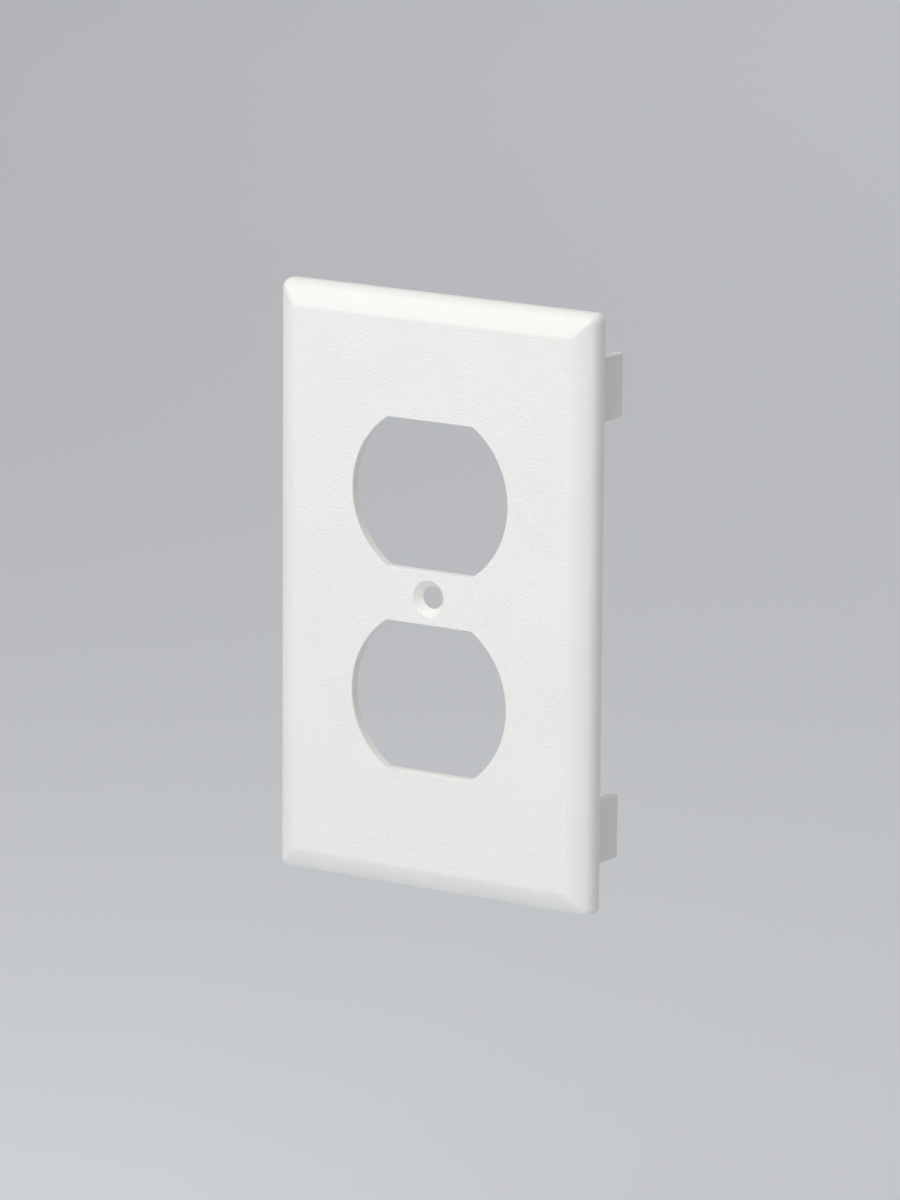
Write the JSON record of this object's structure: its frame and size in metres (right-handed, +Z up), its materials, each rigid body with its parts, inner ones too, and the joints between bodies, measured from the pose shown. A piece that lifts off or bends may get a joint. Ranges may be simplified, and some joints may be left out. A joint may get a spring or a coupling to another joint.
{
  "type": "duplex wall plate",
  "caption": "Hollow moulded cover plate with duplex receptacle openings, a countersunk centre screw hole and flat flexing legs behind its sides.",
  "frame": {"origin": "on the axis of the centre screw hole, in the plane of the rim that rests on the wall", "axes": "+Z up along the plate's long side, +Y into the wall, +X to the right seen from the front; the front faces -Y"},
  "size_m": [0.0698, 0.0146, 0.1142],
  "materials": {
    "plate_plastic": "white moulded plastic, fine spark-textured front, smoother bevel and back",
    "leg_plastic": "white moulded plastic, smooth as moulded"
  },
  "bodies": {
    "plate": {"face_plate": "plate_plastic"},
    "upper_left_leg": {"leg_upper_left": "leg_plastic"},
    "upper_right_leg": {"leg_upper_right": "leg_plastic"},
    "lower_left_leg": {"leg_lower_left": "leg_plastic"},
    "lower_right_leg": {"leg_lower_right": "leg_plastic"}
  },
  "joints": [
    {"name": "flex_upper_left", "type": "hinge", "parent": "plate", "child": "upper_left_leg", "pos_m": [-0.0321, -0.0001, 0.0421], "axis": [0, 0, -1], "range_deg": [-3, 3], "stiffness_Nm_per_rad": 4.3},
    {"name": "flex_upper_right", "type": "hinge", "parent": "plate", "child": "upper_right_leg", "pos_m": [0.0321, -0.0001, 0.0421], "axis": [0, 0, 1], "range_deg": [-3, 3], "stiffness_Nm_per_rad": 4.3},
    {"name": "flex_lower_left", "type": "hinge", "parent": "plate", "child": "lower_left_leg", "pos_m": [-0.0321, -0.0001, -0.0421], "axis": [0, 0, -1], "range_deg": [-3, 3], "stiffness_Nm_per_rad": 4.3},
    {"name": "flex_lower_right", "type": "hinge", "parent": "plate", "child": "lower_right_leg", "pos_m": [0.0321, -0.0001, -0.0421], "axis": [0, 0, 1], "range_deg": [-3, 3], "stiffness_Nm_per_rad": 4.3}
  ]
}
